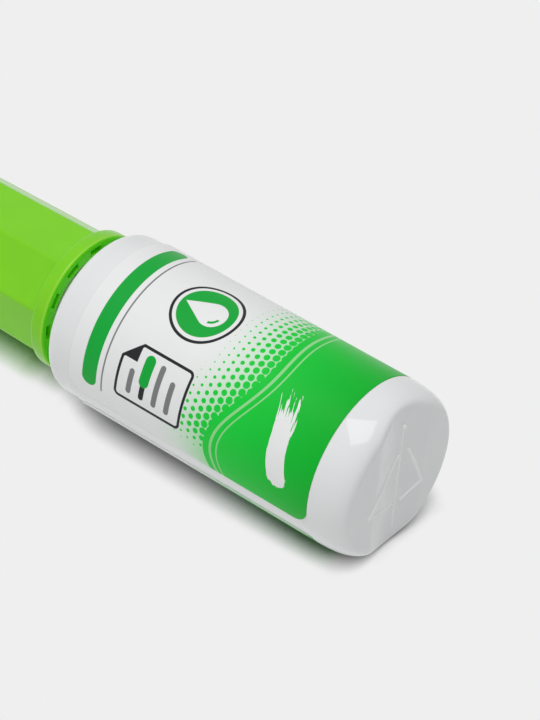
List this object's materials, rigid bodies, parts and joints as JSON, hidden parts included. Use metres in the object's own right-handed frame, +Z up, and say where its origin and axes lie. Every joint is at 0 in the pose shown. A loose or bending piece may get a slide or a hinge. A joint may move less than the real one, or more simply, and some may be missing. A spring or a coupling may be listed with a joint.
{
  "type": "correction fluid bottle",
  "caption": "Small round white bottle with a wrap label, lying on its side, closed by a tall octagonal screw cap that carries an applicator brush.",
  "frame": {"origin": "on the surface that the bottle lies on, under the middle of its length", "axes": "+X along the bottle's axis towards its base, -X towards the cap, +Z up"},
  "size_m": [0.0894, 0.026, 0.0259],
  "materials": {
    "bottle_plastic": "glossy blow-moulded white",
    "label_film": "satin printed film",
    "wiper_plastic": "soft moulded white",
    "washer_foam": "matt foam",
    "stem_plastic": "satin moulded white",
    "anchor_metal": "stamped plate",
    "bristle_nylon": "fine filaments",
    "ball_steel": "polished",
    "cap_plastic": "satin moulded green"
  },
  "bodies": {
    "bottle": {"bottle": "bottle_plastic", "label": "label_film", "neck_wiper": "wiper_plastic"},
    "washer": {"sealing_washer": "washer_foam"},
    "brush": {"brush_stem": "stem_plastic", "bristle_anchor": "anchor_metal", "bristle_tuft": "bristle_nylon"},
    "cap": {"cap_shell": "cap_plastic"},
    "ball": {"mixing_ball": "ball_steel"}
  },
  "joints": [
    {"name": "brush_pull_out", "type": "slide", "parent": "bottle", "child": "washer", "axis": [-1, 0, 0], "range_m": [0, 0.062]},
    {"name": "cap_thread_lift", "type": "slide", "parent": "washer", "child": "brush", "axis": [-1, 0, 0], "range_m": [0, 0.0045]},
    {"name": "cap_turn", "type": "hinge", "parent": "brush", "child": "cap", "pos_m": [-0.0282, 0, 0.01297], "axis": [-1, 0, 0], "range_deg": [0, 540]},
    {"name": "ball_roll", "type": "slide", "parent": "bottle", "child": "ball", "axis": [-1, 0, 0], "range_m": [0, 0.04]}
  ],
  "couplings": [
    {"joint": "cap_thread_lift", "follows": "cap_turn", "m_per_rad": 0.00047746}
  ]
}
